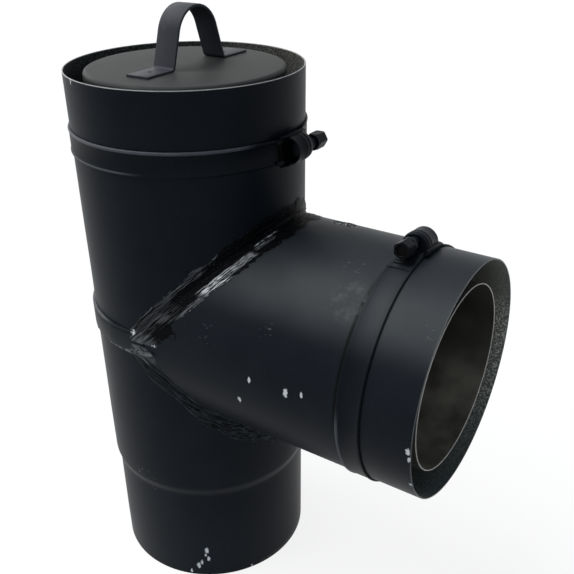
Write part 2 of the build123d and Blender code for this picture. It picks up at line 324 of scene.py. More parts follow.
chip_height = 0.5
chip_spots = [
    (81.8, -63.4, 180.7, 0.9),
    (74.3, -62.2, 165.3, 1.2),
    (103.6, -63.4, 181.0, 1.5),
    (112.7, -63.3, 183.3, 0.9),
    (33.5, -51.7, 22.4, 1.5),
    (32.7, -52.2, 18.2, 0.8),
    (34.2, -51.3, 14.8, 1.2),
    (30.3, -53.7, 11.6, 1.0),
    (28.3, -54.7, 8.6, 1.4),
    (23.5, -56.9, 2.6, 0.9),
    (53.4, -30.6, 0.6, 1.2),
    (169.8, -63.4, 174.0, 1.2),
    (170.7, -63.0, 169.6, 1.0),
    (170.6, -57.5, 150.9, 0.9),
    (-23.3, -59.1, 314.6, 0.7),
]
scuff_spots = [
    (53.5, -60.5, 197.0, 8.0),
    (87.1, -55.9, 207.9, 7.0),
    (124.5, -39.2, 227.8, 11.0),
    (118.4, -22.0, 237.4, 8.0),
    (-2.0, -62.0, 74.0, 12.0),
    (42.0, -45.0, 24.5, 7.0),
    (169.0, -40.8, 226.5, 7.0),
]
smear_spot = (30.7, -62.9, 190.0)
smear_radius = 2.4
smudge_spot = (124.0, -39.5, 227.6)
smudge_radius = 13.0
band_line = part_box("branch_clamp_band")[0].x * METRE
casing_black = (0.0055, 0.0080, 0.0115)
casing_grey = (0.0085, 0.0112, 0.0150)
# Colour of the painted highlight on the branch's shoulders.
casing_highlight = (0.046, 0.052, 0.0555)
# Near-black for painted shade and painted shadow lines.
shade_black = (0.0006, 0.0006, 0.0006)
inner_ground = (0.17, 0.168, 0.142)
inner_dust = (0.78, 0.76, 0.64)
worn_edge = (0.42, 0.42, 0.41)
scuff_grey = (0.11, 0.115, 0.12)
smudge_grey = (0.088, 0.092, 0.095)
smear_black = (0.001, 0.001, 0.001)
chip_white = (0.66, 0.67, 0.66)

casing_paint, casing_shader, spot = start_finish("casing_stove_paint", 0.05)
paint = stove_paint(casing_shader, spot, casing_black, casing_grey, 0.42)
# Painted highlight: a broad pale band along the branch's shoulders.
paint = shoulder_highlight(spot, paint, casing_highlight)
across = spot.axis(0)
sideways = spot.axis(1)
height = spot.axis(2)
rise = height - branch_height
# Painted shadow: a dark line on the casing just beside the branch band's edge nearer the run, on its upper
# part.
beside_band = abs(across - band_line + 0.9).step(1.5, 0.8)
band_shadow = beside_band * rise.step(60, 52) * rise.step(-12, 6)
paint = (band_shadow * 0.8).blend(paint, shade_black)
branch_gap = spot.place(0.0, sideways, rise).length()
run_gap = spot.place(across, sideways, 0.0).length()
in_branch = branch_gap.step(run_radius - 0.3, run_radius - 0.5) * across.step(70, 95)
in_run = run_gap.step(run_radius - 0.3, run_radius - 0.5) * height.step(270, 290)
settled = rise.within(-52, 15, 18)
sparkle = spot.grain(0.9, 3.0).step(0.44, 0.66) * (0.15 + (settled | in_run) * 0.85)
sandy = sparkle.blend(inner_ground, inner_dust)
paint = (in_branch | in_run * 0.2).blend(paint, sandy)
top_rim = height.step(run_top - 0.5, run_top - 0.2)
mouth_rim = across.step(branch_reach - 0.4, branch_reach - 0.2)
rims = (top_rim | mouth_rim * 0.4) * (0.55 + spot.grain(5.0, 3.0) * 0.5)
paint = rims.blend(paint, worn_edge)
rubbed = spot.place(across * 0.5, sideways, height).grain(1.3, 5.0).step(0.60, 0.74)
paint = (spot.near_any(scuff_spots) * rubbed * 0.8).blend(paint, scuff_grey)
smudge = spot.near(smudge_spot, smudge_radius) * spot.grain(5.0, 4.0).step(0.42, 0.72)
paint = (smudge * 0.5).blend(paint, smudge_grey)
uneven = (spot.grain(2.6, 3.0) - 0.5) * 5.0
smear = abs(spot.vector("DISTANCE", smear_spot, "Value") - smear_radius + uneven)
broken = spot.grain(2.2, 2.0).step(0.42, 0.50)
paint = (smear.step(0.9, 0.4) * broken).blend(paint, smear_black)
squashed = spot.vector("MULTIPLY", (1, 1, chip_height))
flake = (spot.grain(1.1, 2.0) - 0.5) * 1.6
chips = squashed.near_any([(x, y, z * chip_height, size) for x, y, z, size in chip_spots], flake)
chips.blend(paint, chip_white).feed(casing_shader, "Base Color")
peel = spot.grain(0.8, 3.0) * 0.7 + spot.grain(4.0, 2.0) * 0.3
press(peel - chips * 0.5, casing_shader, 0.04)

casing_stations = spread(0, 1, 13)
upper_wall = tube_wall(
    run_radius,
    casing_wall,
    lambda radius, angle: branch_height + run_mitre(radius, angle),
    run_top,
    on_run,
    casing_stations,
)
dress(solid("upper_casing_sheet", [upper_wall]), casing_paint, "casing_paint", "tee", "upper_casing")

branch_wall = tube_wall(run_radius, casing_wall, branch_mitre, branch_reach, on_branch, casing_stations)
dress(solid("branch_casing_sheet", [branch_wall]), casing_paint, "casing_paint", "tee", "branch_casing")

foot_levels = [rim_rounding, *spread(4, male_length - 2, 7)]
foot_levels += spread(male_length, male_length + male_taper, 9)
foot_rows = []
for angle in whole_turn(tube_turns):
    foot_row = []
    for inset in (0, casing_wall):
        mitre = branch_height - run_mitre(run_radius - inset, angle)
        levels = foot_levels + spread(male_length + 2 * male_taper, mitre, 8)
        if inset:
            foot_row.append(on_run(male_radius - rim_rounding, angle, 0))
            foot_row.append(on_run(male_radius - casing_wall + rim_rounding, angle, 0))
        for z in levels if inset else levels[::-1]:
            radius = foot_radius(z)
            ripple = sheet_wave * wave(on_run(radius, angle, z), sheet_wave_length)
            foot_row.append(on_run(radius - inset + ripple, angle, z))
    foot_rows.append(foot_row)
lower_wall = shell(foot_rows)
dress(solid("lower_casing_sheet", [lower_wall]), casing_paint, "casing_paint", "tee", "lower_casing")

# Joint band: a flat strip of the same sheet round the back of the run, over the butt joint of its two
# casings. Its ends are hammered thinner and lapped onto the branch, and it is painted with the casings.
band_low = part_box("joint_band")[0].z * METRE
band_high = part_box("joint_band")[1].z * METRE
band_thickness = -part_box("joint_band")[0].x * METRE - run_radius
band_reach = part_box("joint_band")[1].x * METRE
band_end_thickness = 0.6
band_thinned = 16.0
band_edge = 0.45
slit_spot = (-14.5, -62.9, 175.9)
slit_height = 0.45
band_grey = (0.016, 0.020, 0.022)
# Near-black for the painted shade in the groove and the slit.
recess_shade_black = (0.0005, 0.0005, 0.0005)
band_worn_highlight_grey = (0.14, 0.14, 0.145)

band_paint, band_shader, spot = start_finish("joint_band_paint", 0.065)
paint = stove_paint(band_shader, spot, casing_black, band_grey, 0.45)
across = spot.axis(0)
height = spot.axis(2)
uneven = (spot.grain(4.0, 3.0) - 0.5) * 0.8
# Painted shade in a shallow groove below the upper edge; the bump below presses the groove in as well.
groove = (height + uneven).within(band_high - 2.1, band_high - 1.2, 0.25) * across.step(-50, -30)
paint = groove.blend(paint, recess_shade_black)
# A pale line along the upper edge: worn paint and a painted highlight.
edge_wear_and_highlight = height.step(band_high - 0.7, band_high - 0.3) * across.step(-12, -24)
paint = (edge_wear_and_highlight * 0.6).blend(paint, band_worn_highlight_grey)
# Painted shade: a small dark dash where a slit would be; the strip has no cut there.
squashed = spot.vector("MULTIPLY", (1, 1, slit_height))
slit = squashed.near((slit_spot[0], slit_spot[1], slit_spot[2] * slit_height), 0.9)
slit.blend(paint, recess_shade_black).feed(band_shader, "Base Color")
press(spot.grain(1.0, 3.0) - groove * 0.6, band_shader, 0.12)


def band_rise(x):
    """How far the strip stands off the casing, which lessens towards its ends."""
    return band_thickness + (band_end_thickness - band_thickness) * ease(x, -band_thinned, 0)


def strip_section(inner, outer, low, high, edge):
    """Section of a flat strip whose outer edges are rounded, as pairs of height and level."""
    return [
        (inner, low),
        (outer - edge, low),
        (outer - 0.3 * edge, low + 0.3 * edge),
        (outer, low + edge),
        (outer, high - edge),
        (outer - 0.3 * edge, high - 0.3 * edge),
        (outer - edge, high),
        (inner, high),
    ]


def lapped(x, side, radius, z):
    """A place on the strip's lap, which follows the run up to the mitre and the branch beyond it."""
    return (x, side * sqrt(radius**2 - min(x, abs(z - branch_height)) ** 2), z)


def strip_at(x):
    """The strip's section where it has come that far towards the branch."""
    return strip_section(run_radius, run_radius + band_rise(x), band_low, band_high, band_edge)


band_rows = [[lapped(x, 1, radius, z) for radius, z in strip_at(x)] for x in spread(band_reach, 1, 10)]
for angle in spread(pi / 2, 3 * pi / 2, 160):
    band_rows.append([on_run(radius, angle, z) for radius, z in strip_at(run_radius * cos(angle))])
band_rows += [[lapped(x, -1, radius, z) for radius, z in strip_at(x)] for x in spread(1, band_reach, 10)]
band_strip = solid("joint_band_strip", [shell(band_rows, False, True, True)])
dress(band_strip, band_paint, "casing_paint", "tee", "joint_band")

# Seam sealant: black high-temperature sealant, run along both mitres by hand and brushed out while wet.
# It lies in long strokes with ragged ends over both pipes and the lapped ends of the joint band.
sealant_thickness = 0.85
sealant_ceiling = 1.4
corner_fillet = 2.2
sealant_sink = 0.15
stroke_length = 16.0
stroke_width = 1.3
fine_stroke_length = 5.0
fine_stroke_width = 0.6
seam_end = radians(89.0)
seam_stations = 380
# Where glints are painted: ranges off the mitre and sideways, each with a strength.
glint_zones = [
    ((-8.6, -3.4), (-52.0, -44.0), 1.0),
    ((-7.0, -3.2), (-44.0, -31.0), 0.55),
    ((-9.4, -6.2), (-60.0, -52.0), 0.25),
    ((-2.5, -1.9), (-26.5, -13.0), 1.0),
    ((-4.8, -3.3), (-28.0, -18.0), 0.35),
    ((2.2, 6.8), (-62.5, -47.0), 0.16),
    ((4.4, 6.4), (-46.5, -42.5), 0.45),
    ((-5.0, 9.0), (-63.9, -58.0), 0.10),
]
crotch_spots = [(3.8, -64.1, 184.0, 2.2), (17.7, -62.4, 179.2, 2.2)]
lump_spot = (11.0, -63.3, 176.0)
lump_radius = 13.0
hair_shape = (3.2, 0.30, 0.1)
sealant_black = (0.0012, 0.0014, 0.0018)
sealant_grey = (0.0045, 0.005, 0.006)
dried_black = (0.0015, 0.0020, 0.0026)
dried_grey = (0.046, 0.052, 0.057)
glint_white = (0.80, 0.82, 0.83)

sealant, sealant_shader, spot = start_finish("black_sealant", 0.02)
sideways = spot.axis(1)
height = spot.axis(2)
off_mitre = (abs(height - branch_height) - spot.axis(0)) * sqrt(0.5)
hairs = spot.place(off_mitre, sideways, height).vector("MULTIPLY", hair_shape).grain(1.0, 6.0)
on_top = height.step(branch_height - 3.0, branch_height + 1.0)
film = hairs.step(0.3, 0.7).blend(sealant_black, sealant_grey)
dried = hairs.step(0.45, 0.62).blend(dried_black, dried_grey)
film = on_top.blend(dried, film)
zones = []
# Painted highlights: white streaks, specks and spots in the colour stand in for glints on the sealant, and a
# faint grey sheen is painted on the lump.
for (low, high), (far_end, near_end), strength in glint_zones:
    zones.append(off_mitre.within(low, high, 0.35) * sideways.within(far_end, near_end, 1.6) * strength)
glints = reduce(or_, zones) * on_top * hairs.step(0.47, 0.57)
lump = spot.near(lump_spot, lump_radius) * hairs.step(0.42, 0.62) * 0.20
glint_specks = spot.grain(0.5, 1.0).step(0.70, 0.78) * 0.22
shine = spot.near_any(crotch_spots) * spot.grain(1.2, 2.0).step(0.48, 0.58)
film = (glints | lump | glint_specks | shine).blend(film, glint_white)
film.feed(sealant_shader, "Base Color")
(0.5 - hairs * 0.2).feed(sealant_shader, "Roughness")
press(hairs * 0.7 + spot.grain(1.2, 3.0) * 0.3, sealant_shader, 0.3)


def ground(x, z):
    """How far the joint band lifts what is smeared over its lapped ends."""
    band_half = (band_high - band_low) / 2
    level = 1 - ease(abs(z - branch_height), band_half, band_half + 1.0)
    return band_rise(x) * level * (1 - ease(x, band_reach, band_reach + 1.0))


def seam_row(side, angle, branch_width, run_width, seed):
    """One cross-section of a brushed strip: along the branch, round the corner and along the run.
    The two straight stretches lie on lines of the pipes, so the corner between them is square."""
    x = run_radius * cos(angle)
    y = run_radius * sin(angle)
    fillet = corner_fillet * (0.25 + 0.75 * cos(angle) ** 2)
    path = [(reach, 0.0, 0.0) for reach in spread(branch_width * sqrt(2), fillet, 15)]
    for turn in spread(0.2, pi / 2 - 0.2, 5):
        path.append((fillet * (1 - sin(turn)), fillet * (1 - cos(turn)), turn))
    path += [(0.0, reach, pi / 2) for reach in spread(fillet, run_width * sqrt(2), 13)]
    top = []
    base = []
    for index, (out, up, turn) in enumerate(path):
        share = 2 * index / (len(path) - 1) - 1
        spot = Vector((x + out, y, branch_height + side * (x + up)))
        normal = Vector((cos(angle) * sin(turn), sin(angle), side * cos(angle) * cos(turn))).normalized()
        off = (up - out) / sqrt(2)
        strokes = wave((run_radius * angle / stroke_length, off / stroke_width, seed))
        strokes += 0.5 * wave((run_radius * angle / fine_stroke_length, off / fine_stroke_width, seed + 7))
        under = ground(spot.x, spot.z)
        lift = under + sealant_thickness * max(0.03, (1 - share**4) * (0.5 + 0.6 * strokes))
        top.append(spot + normal * min(lift, sealant_ceiling))
        base.append(spot + normal * (under - sealant_sink))
    return top + base[::-1]


for name, side, branch_width, run_width, crotch_width in (
    ("upper_seam_sealant", 1, 8.8, 5.4, 0.5),
    ("lower_seam_sealant", -1, 4.4, 6.9, 4.2),
):
    rows = []
    for angle in spread(-seam_end, seam_end, seam_stations):
        ragged = []
        for edge in (3, 11):
            drift = 0.3 * wave((angle * 7, side * 3, edge)) + 0.12 * wave((angle * 29, side, edge))
            ragged.append(1 + drift + 0.14 * wave((angle * 71, side * 2, edge)))
        on_run_width = (run_width + crotch_width * cos(angle) ** 2) * ragged[0]
        flare = 1 + 0.5 * ease(abs(angle), radians(72), radians(86))
        rows.append(seam_row(side, angle, branch_width * ragged[1] * flare, on_run_width, side * 5))
    dress(solid(name + "_smear", [shell(rows, False, True, True)]), sealant, "sealant", "tee", name)

# Grey sealant bead: a thin line of the same sealant along the lower edge of the joint band, which has dried
# pale and crumbly. Beside the branch it is smeared wider, and it tails off along the lap.
bead_reach = 17.0
bead_ceiling = run_radius + band_thickness - 0.05
bead_size = 0.9
bead_widening = 1.4
bead_climb = 0.16
bead_sink = 0.2
crumb_shape = (0.35, 0.7, 1.0)
bead_dark = (0.026, 0.028, 0.030)
bead_pale = (0.22, 0.22, 0.215)

bead_grey, bead_shader, spot = start_finish("dried_sealant", 0.1)
crumb = spot.vector("MULTIPLY", crumb_shape).grain(0.9, 4.0)
crumb.step(0.35, 0.70).blend(bead_dark, bead_pale).feed(bead_shader, "Base Color")
(0.6 + crumb * 0.2).feed(bead_shader, "Roughness")
press(crumb, bead_shader, 0.25)


def bead_section(place, along, widen):
    """A low lumpy half-round section: place takes a height off the pipe and a level."""
    lump = 0.75 + 0.55 * wave((along, 3, 5), 3.0) + 0.3 * wave((along, 9, 1), 0.9)
    size = bead_size * max(0.25, lump)
    turns = spread(-0.25 * pi, 1.25 * pi, 9)
    return [place(size * sin(turn) * 0.9, size * cos(turn) * (1 + widen)) for turn in turns]


def lap_row(x, side):
    """The bead beside the branch: smeared wide at first, then narrower as it climbs to its end."""
    lap_rise = max(ground(x, band_low + 0.5) * 0.5, 0.75 * ease(x, 1, 4))
    level = band_low - 0.2 + bead_climb * x

    def on_lap(off, up):
        radius = run_radius + lap_rise + max(-bead_sink, off)
        return lapped(x, side, min(bead_ceiling, radius), level + up)

    return bead_section(on_lap, side * (x + 100), bead_widening * (1 - ease(x, 9, 17.5)))


def back_row(angle):
    """The bead round the back of the run."""
    x = run_radius * cos(angle)
    back_rise = max(0.05, band_rise(x) - 0.7)

    def on_back(off, up):
        radius = run_radius + back_rise + max(-bead_sink, off)
        return on_run(min(bead_ceiling, radius), angle, band_low - 0.3 + up)

    return bead_section(on_back, run_radius * angle, bead_widening * ease(x, -18, 0))


bead_rows = [lap_row(x, 1) for x in spread(bead_reach, 0.5, 34)]
bead_rows += [back_row(angle) for angle in spread(pi / 2, 3 * pi / 2, 420)]
bead_rows += [lap_row(x, -1) for x in spread(0.5, bead_reach, 34)]
dress(solid("joint_band_bead", [shell(bead_rows, False, True, True)]), bead_grey, "sealant", "tee")

# Sealant scrap: a thin rag of sealant that fell on the crown of the branch and set there.
# It is flecked white where it has lifted.
scrap_along = 89.0
scrap_turn = 0.28
scrap_size = 8.0
scrap_thickness = 0.7
scrap_turns = 96
scrap_dark = (0.002, 0.002, 0.0025)
fleck_white = (0.50, 0.50, 0.49)

scrap_black, scrap_shader, spot = start_finish("scrap_sealant", 0.03)
fleck = spot.grain(1.3, 4.0)
fleck.step(0.50, 0.60).blend(scrap_dark, fleck_white).feed(scrap_shader, "Base Color")
(0.5 + fleck * 0.2).feed(scrap_shader, "Roughness")
press(fleck, scrap_shader, 0.2)

scrap_profile = [(share, True) for share in spread(0, 1, 12)] + [(1, False), (0, False)]
scrap_rows = []
for angle in whole_turn(scrap_turns):
    ragged = 0.45 * wave((cos(angle) * 1.4, sin(angle) * 1.4, 4)) + 0.2 * wave((angle * 5, 2, 8))
    reach = scrap_size * (0.75 + ragged)
    row = []
    for share, on_top in scrap_profile:
        x = scrap_along + reach * share * cos(angle)
        turned = scrap_turn + reach * share * sin(angle) / run_radius
        crumple = 0.6 + 0.5 * wave((x, turned * run_radius, 3), 2.0)
        lift = scrap_thickness * crumple * (1 - share**4) + 0.08 if on_top else -0.1
        row.append(on_branch(run_radius + lift, turned, x))
    scrap_rows.append(row)
dress(solid("sealant_scrap", [shell(scrap_rows, True, False)]), scrap_black, "sealant", "tee")

# Flue liner: a plain tube of thin stainless steel inside each casing, mitred and welded like them. Flue gas
# has dulled it brown and speckled it.
liner_radius = -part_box("run_liner")[0].x * METRE
liner_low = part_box("run_liner")[0].z * METRE
liner_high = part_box("run_liner")[1].z * METRE
liner_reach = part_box("branch_liner")[1].x * METRE
liner_wall = 0.6
liner_turns = 192
tarnish_size = 26.0
liner_brown = (0.062, 0.059, 0.051)
liner_pale = (0.215, 0.205, 0.175)
speckle_grey = (0.22, 0.215, 0.19)
liner_shade_black = (0.026, 0.025, 0.022)
liner_rim_grey = (0.36, 0.355, 0.34)

liner_steel, liner_shader, spot = start_finish("sooty_liner_steel", 0.3, 0.5)
tarnish = spot.grain(tarnish_size, 4.0)
speckle = spot.grain(0.7, 3.0).step(0.55, 0.75)
steel = tarnish.step(0.3, 0.7).blend(liner_brown, liner_pale)
steel = (speckle * 0.4).blend(steel, speckle_grey)
# Painted shade: the liner is painted darker from 40 mm below the branch's axis upwards.
upper_shade = spot.axis(2).step(branch_height - 40, branch_height - 4)
steel = (upper_shade * 0.85).blend(steel, liner_shade_black)
liner_rim = spot.axis(0).step(liner_reach - 0.6, liner_reach - 0.3)
liner_rim.blend(steel, liner_rim_grey).feed(liner_shader, "Base Color")
(0.42 + tarnish * 0.25).feed(liner_shader, "Roughness")
press(spot.grain(0.9, 3.0), liner_shader, 0.04)


def liner_half(side, far):
    """One half of the run liner, from the mitre up or down to its end."""
    rows = []
    for angle in whole_turn(liner_turns):
        row = []
        for radius, ends in ((liner_radius, (0, 1)), (liner_radius - liner_wall, (1, 0))):
            near = branch_height + side * run_mitre(radius, angle)
            row += [on_run(radius, angle, near + (far - near) * share) for share in ends]
        rows.append(row)
    return shell(rows)


run_tube = solid("run_liner_tube", [liner_half(1, liner_high), liner_half(-1, liner_low)])
dress(run_tube, liner_steel, "liner_steel", "tee", "run_liner")
branch_pipe = tube_wall(liner_radius, liner_wall, branch_mitre, liner_reach, on_branch, spread(0, 1, 4), 0.0)
dress(solid("branch_liner_tube", [branch_pipe]), liner_steel, "liner_steel", "tee", "branch_liner")

# Spacer clips: hat-shaped strips of plain steel, three near each end, that hold the liner in the middle of
# the casing. They are bent from flat strip and stay as they came.
spacer_dark = (0.09, 0.09, 0.088)
spacer_pale = (0.15, 0.148, 0.142)

spacer_steel, spacer_shader, spot = start_finish("spacer_strip_steel", 0.4, 0.8)
rolled = spot.grain(3.0, 3.0)
rolled.step(0.3, 0.7).blend(spacer_dark, spacer_pale).feed(spacer_shader, "Base Color")
(0.4 + rolled * 0.2).feed(spacer_shader, "Roughness")
for name in ("upper_spacers", "base_spacers", "branch_spacers"):
    clips = frame["nodes"][name]
    clips.data.materials.clear()
    clips.data.materials.append(spacer_steel)

# Clean-out cap: a pressed lid with a rounded brim, whose skirt slips over the end of the liner. It has the
# same matt paint as the casing but lighter in colour: partly dust and handling, partly painted light on its
# level top.
brim_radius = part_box("cap_lid")[1].x * METRE
lid_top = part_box("cap_lid")[1].z * METRE
lid_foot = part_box("cap_lid")[0].z * METRE
brim_overhang = 1.9
brim_height = 5.0
lid_wall = 0.8
brim_edge = 2.5
brim_lip = 0.6
lid_turns = 192
# The lid's colours are lighter than the casing's: partly dust and handling, partly painted light.
lid_dark = (0.0255, 0.027, 0.0272)
lid_pale = (0.0325, 0.0342, 0.0338)
lid_rubbed = (0.07, 0.07, 0.068)

cap_paint, cap_shader, spot = start_finish("cap_stove_paint", 0.07)
paint = stove_paint(cap_shader, spot, lid_dark, lid_pale, 0.55)
rubbed = spot.vector("MULTIPLY", (0.25, 1.0, 1.0)).grain(9.0, 4.0).step(0.58, 0.72)
(rubbed * 0.25).blend(paint, lid_rubbed).feed(cap_shader, "Base Color")
press(spot.grain(0.8, 3.0), cap_shader, 0.04)


def bend(middle, radius, start, end, steps):
    """Points round a bend in a profile, as pairs of radius and height."""
    out, up = middle
    return [(out + radius * cos(turn), up + radius * sin(turn)) for turn in spread(start, end, steps)]


skirt_radius = brim_radius - brim_overhang
skirt_inside = skirt_radius - lid_wall
brim_low = lid_top - brim_height
brim_middle = (brim_radius - brim_edge, lid_top - brim_edge)
brim_under = (brim_radius - brim_lip, brim_low + brim_lip)
lid_profile = [(0.0, lid_top), (brim_radius * 0.5, lid_top)]
lid_profile += bend(brim_middle, brim_edge, pi / 2, 0, 8)
lid_profile += bend(brim_under, brim_lip, 0, -pi / 2, 4)
lid_profile += [
    (skirt_radius + 0.3, brim_low),
    (skirt_radius, brim_low - 0.3),
    (skirt_radius, lid_foot + 0.2),
    (skirt_radius - 0.2, lid_foot),
    (skirt_inside, lid_foot),
    (skirt_inside, brim_low + lid_wall),
    (brim_radius - lid_wall - 0.4, brim_low + lid_wall),
]
lid_profile += bend(brim_middle, brim_edge - lid_wall, 0, pi / 2, 6)
lid_profile += [(brim_radius * 0.5, lid_top - lid_wall), (0.0, lid_top - lid_wall)]
lid_rows = [[on_run(radius, angle, z) for radius, z in lid_profile] for angle in whole_turn(lid_turns)]
dress(solid("cap_lid_pressing", [shell(lid_rows, True, False)]), cap_paint, "cap_paint", "cap", "cap_lid")

# Cap handle: one length of flat strap, bent to two feet, leaning legs and a round top. A small lanced
# stitch in each foot, pressed down through the lid, holds it.
strap_width = (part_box("cap_handle")[1].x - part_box("cap_handle")[0].x) * METRE
strap_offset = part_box("cap_handle")[1].x * METRE - strap_width / 2
strap_middle = (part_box("cap_handle")[0].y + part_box("cap_handle")[1].y) / 2 * METRE
strap_span = (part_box("cap_handle")[1].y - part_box("cap_handle")[0].y) * METRE
strap_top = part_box("cap_handle")[1].z * METRE
strap_thickness = 1.2
strap_edge = 0.3
leg_spacing = 40.6
leg_lean = radians(18)
foot_bend = 2.7
bend_steps = 33
stitch_spacing = 61.0
stitch_size = 2.8
stitch_slit = 0.7
stitch_depth = 0.9
handle_dark = (0.033, 0.0355, 0.043)
handle_pale = (0.041, 0.0435, 0.051)
handle_worn = (0.12, 0.12, 0.125)

handle_paint, handle_shader, spot = start_finish("handle_stove_paint", 0.09)
paint = stove_paint(handle_shader, spot, handle_dark, handle_pale, 0.5)
worn = spot.vector("MULTIPLY", (1.0, 0.3, 0.3)).grain(2.5, 4.0).step(0.60, 0.72)
(worn * 0.2).blend(paint, handle_worn).feed(handle_shader, "Base Color")
press(spot.grain(0.7, 3.0), handle_shader, 0.04)


def rounded(corners, radii, steps):
    """Points along a line whose inner corners are rounded to the radii."""
    points = [Vector(corners[0])]
    for before, corner, after, radius in zip(corners, corners[1:], corners[2:], radii):
        corner = Vector(corner)
        back = (Vector(before) - corner).normalized()
        ahead = (Vector(after) - corner).normalized()
        half = acos(back.dot(ahead)) / 2
        centre = corner + (back + ahead).normalized() * radius / sin(half)
        start = corner + back * radius / tan(half) - centre
        end = corner + ahead * radius / tan(half) - centre
        for share in spread(0, 1, steps):
            points.append(centre + start.lerp(end, share).normalized() * radius)
    points.append(Vector(corners[-1]))
    return points


half_leg = leg_spacing / 2
apex = half_leg / tan(leg_lean)
crown_radius = (apex - (strap_top - lid_top - strap_thickness)) / (1 / sin(leg_lean) - 1)
strap_line = rounded(
    [(-strap_span / 2, 0), (-half_leg, 0), (0, apex), (half_leg, 0), (strap_span / 2, 0)],
    [foot_bend, crown_radius, foot_bend],
    bend_steps,
)
strap_rows = []
for index, point in enumerate(strap_line):
    ahead = strap_line[min(index + 1, len(strap_line) - 1)] - strap_line[max(index - 1, 0)]
    left = Vector((-ahead.y, ahead.x)).normalized()
    row = []
    for thick, wide in strip_section(0.0, strap_thickness, -strap_width / 2, strap_width / 2, strap_edge):
        place = point + left * thick
        row.append((strap_offset + wide, strap_middle + place.x, lid_top + place.y))
    strap_rows.append(row)
handle = solid("cap_handle_strap", [shell(strap_rows, False, True, True)])

foot_top = lid_top + strap_thickness
arm = stitch_size / 2
inner_arm = stitch_slit - arm
slit_outline = [
    (-arm, -arm),
    (arm, -arm),
    (arm, inner_arm),
    (inner_arm, inner_arm),
    (inner_arm, arm),
    (-arm, arm),
]
slits = []
for side in (-1, 1):
    middle = strap_middle + side * stitch_spacing / 2
    levels = (foot_top - stitch_depth, foot_top + 1)
    rows = [[(strap_offset + x, middle + y, z) for x, y in slit_outline] for z in levels]
    slits.append(shell(rows, False, True, True))
lance = solid("lance", slits)
cut = handle.modifiers.new("cut", "BOOLEAN")
cut.object = lance
cut.solver = "EXACT"
bpy.context.view_layer.update()
lanced = bpy.data.meshes.new_from_object(handle.evaluated_get(bpy.context.evaluated_depsgraph_get()))
handle.modifiers.clear()
handle.data = lanced
bpy.data.objects.remove(lance)
smooth(handle.data)
dress(handle, handle_paint, "cap_paint", "cap", "cap_handle")

# Worm-drive clamps: on each female end a steel band with a slotted tail, which a worm screw in a pressed
# housing draws tight. A saddle under the tail holds the housing's feet between its ears. All of it has been
# painted black.
hoop_width = 12.7
hoop_thickness = 0.65
hoop_clearance = 0.1
hoop_bead = 0.4
ply_gap = 0.05
saddle_floor = 0.5
saddle_wall = 0.7
saddle_height = 2.4
saddle_start = -11.1
saddle_end = 8.5
tail_root = 1.5
free_tail_end = 22.5
slot_half = 4.0
slot_web = 1.0
slot_gap = 1.1
housing_end = 6.5
housing_wall = 0.7
end_wall = 1.2
side_clearance = 0.15
worm_radius = 3.6
worm_clearance = 0.1
worm_start = -4.5
worm_end = 5.0
thread_pitch = 1.9
thread_depth = 0.8
neck_radius = 3.0
collar_start = 12.0
collar_end = 13.6
collar_radius = 4.3
hex_end = 21.1
hex_radius = 4.0
hex_chamfer = 0.6
dish_radius = 2.7
dish_depth = 0.9
neck_clearance = 0.05
face_shade_radius = 4.4
mouth_shade_radius = 7.0
mouth_back = 9.0
mouth_drop = 3.0
clamp_black = (0.0032, 0.0050, 0.0076)
clamp_grey = (0.0056, 0.0078, 0.0110)
# Colour of the painted highlight on the branch band's shoulders.
clamp_highlight = (0.043, 0.048, 0.052)
bead_highlight_grey = (0.115, 0.118, 0.13)
back_edge_highlight_grey = (0.105, 0.110, 0.118)
clamp_shade = (0.001, 0.001, 0.0012)

saddle_low = hoop_thickness + ply_gap
saddle_high = saddle_low + saddle_floor
tail_low = saddle_high + ply_gap
tail_high = tail_low + hoop_thickness
tail_drop = tail_low - hoop_thickness - ply_gap
worm_middle = tail_high + worm_clearance + worm_radius
channel_half = hoop_width / 2 + side_clearance
housing_half = channel_half + housing_wall
ear_inner = housing_half + ply_gap
ear_outer = ear_inner + saddle_wall
barrel_radius = worm_radius + worm_clearance + housing_wall

joints = {joint["name"]: joint for joint in frame["record"]["behaviour"]["joints"]}
upper_level = (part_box("upper_clamp_band")[0].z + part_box("upper_clamp_band")[1].z) / 2 * METRE
branch_level = (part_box("branch_clamp_band")[0].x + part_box("branch_clamp_band")[1].x) / 2 * METRE
clamp_paint, clamp_shader, spot = start_finish("clamp_satin_paint", 0.05)
paint = stove_paint(clamp_shader, spot, clamp_black, clamp_grey, 0.42)
# Painted highlight on the branch band's shoulders, as on the casing.
paint = shoulder_highlight(spot, paint, clamp_highlight)
across = spot.axis(0)
height = spot.axis(2)
rise = height - branch_height
band_gap = spot.place(across, spot.axis(1), 0.0).length()
# Painted highlights: pale lines along the upper band's beads, the lower one fading out towards the branch.
on_hoop = band_gap.step(run_radius + 2.2, run_radius + 1.8) * across.step(62, 56)
low_bead = (upper_level - height).within(5.0, 5.9, 0.2) * across.step(22, 4) * 0.75
upper_bead = (height - upper_level).within(4.9, 6.6, 0.25) | low_bead
beads = on_hoop * upper_bead * (0.75 + spot.grain(3.0, 3.0) * 0.4)
paint = beads.blend(paint, bead_highlight_grey)
shaded_edge = abs(across - branch_level).within(6.0, 7.0, 0.2) * rise.step(62, 60)
paint = (shaded_edge * 0.65).blend(paint, shade_black)
